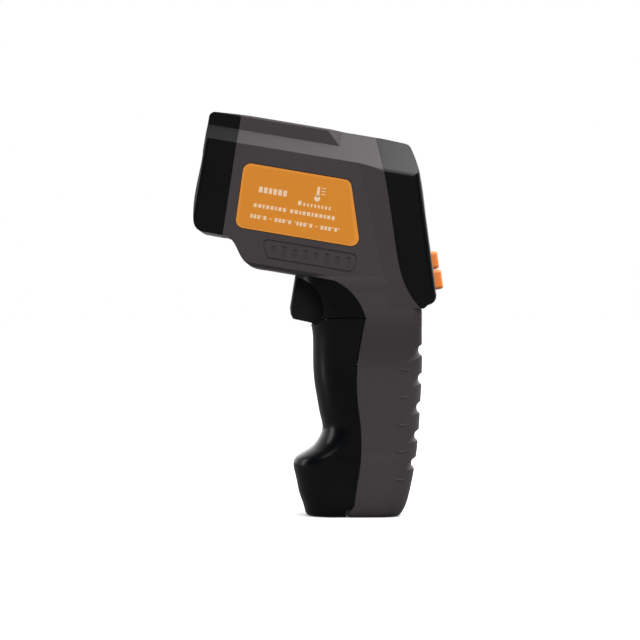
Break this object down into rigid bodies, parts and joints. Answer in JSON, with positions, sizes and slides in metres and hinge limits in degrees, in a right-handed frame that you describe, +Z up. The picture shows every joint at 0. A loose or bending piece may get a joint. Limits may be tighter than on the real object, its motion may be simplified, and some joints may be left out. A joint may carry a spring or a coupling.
{
  "type": "infrared thermometer",
  "caption": "Pistol-grip infrared thermometer with a boxy sloping barrel, side labels, a sprung trigger, rear display and keys, and a hinged battery door in the handle.",
  "frame": {"origin": "on the flat base of the handle, under the middle of the overall length", "axes": "+Z up along the handle, the nose points along -X, Y across; the object's left side is -Y"},
  "size_m": [0.0951, 0.0426, 0.1542],
  "materials": {
    "battery_can": "printed battery can",
    "black_component": "moulded black",
    "black_wire": "black insulation",
    "board": "solder-masked board",
    "brass": "turned brass",
    "clear_window": "clear acrylic",
    "display": "liquid crystal panel",
    "foam": "black foam",
    "gloss_black": "polished black ABS",
    "grey_component": "moulded grey",
    "lens": "infrared-transmitting polyethylene",
    "orange_key": "soft orange keycap",
    "orange_label": "printed polycarbonate label",
    "red_wire": "red insulation",
    "ribbon": "flat cable",
    "satin_black": "satin black ABS",
    "shell_plastic": "matt grey-brown ABS",
    "steel": "plated steel"
  },
  "bodies": {
    "housing": {"battery": "battery_can", "battery_lead_black": "black_wire", "battery_lead_red": "red_wire", "battery_snap": "black_component", "battery_tray": "satin_black", "board_screws": "steel", "buzzer": "black_component", "door_pin": "steel", "housing_screws": "steel", "laser_holder": "black_component", "laser_module": "brass", "laser_window": "clear_window", "lcd_backlight": "grey_component", "lcd_contact_strips": "grey_component", "lcd_panel": "display", "lcd_window": "clear_window", "left_label": "orange_label", "left_shell": "shell_plastic", "lens": "lens", "lens_ring": "black_component", "lower_key_switch": "black_component", "main_board": "board", "nose_bezel": "gloss_black", "processor": "black_component", "rear_cover": "gloss_black", "right_label": "orange_label", "right_shell": "shell_plastic", "sensor_board": "board", "sensor_ribbon": "ribbon", "sensor_tube": "black_component", "thermopile": "steel", "trigger_pin": "steel", "trigger_shroud": "satin_black", "trigger_switch": "black_component", "trigger_switch_board": "board", "upper_key_switch": "black_component"},
    "trigger": {"trigger": "satin_black", "trigger_spring": "steel"},
    "trigger_switch_plunger": {"trigger_switch_plunger": "grey_component"},
    "battery_door": {"battery_door": "satin_black", "battery_foam_pad": "foam"},
    "upper_key": {"upper_key": "orange_key", "upper_key_plunger": "grey_component"},
    "lower_key": {"lower_key": "orange_key", "lower_key_plunger": "grey_component"}
  },
  "joints": [
    {"name": "trigger_pull", "type": "hinge", "parent": "housing", "child": "trigger", "pos_m": [-0.00546, 0, 0.0964], "axis": [0, -1, 0], "range_deg": [0, 8], "stiffness_Nm_per_rad": 0.25, "springref_deg": -11.46},
    {"name": "trigger_switch_press", "type": "slide", "parent": "housing", "child": "trigger_switch_plunger", "axis": [1, 0, 0], "range_m": [0, 0.0025]},
    {"name": "door_open", "type": "hinge", "parent": "housing", "child": "battery_door", "pos_m": [0.01174, 0, 0.0018], "axis": [0, -1, 0], "range_deg": [0, 60]},
    {"name": "upper_key_press", "type": "slide", "parent": "housing", "child": "upper_key", "axis": [-0.991, 0, -0.134], "range_m": [0, 0.0008], "stiffness_N_per_m": 1200, "springref_m": -0.0006},
    {"name": "lower_key_press", "type": "slide", "parent": "housing", "child": "lower_key", "axis": [-0.991, 0, -0.134], "range_m": [0, 0.0008], "stiffness_N_per_m": 1200, "springref_m": -0.0006}
  ],
  "couplings": [
    {"joint": "trigger_switch_press", "follows": "trigger_pull", "m_per_rad": 0.0166}
  ]
}
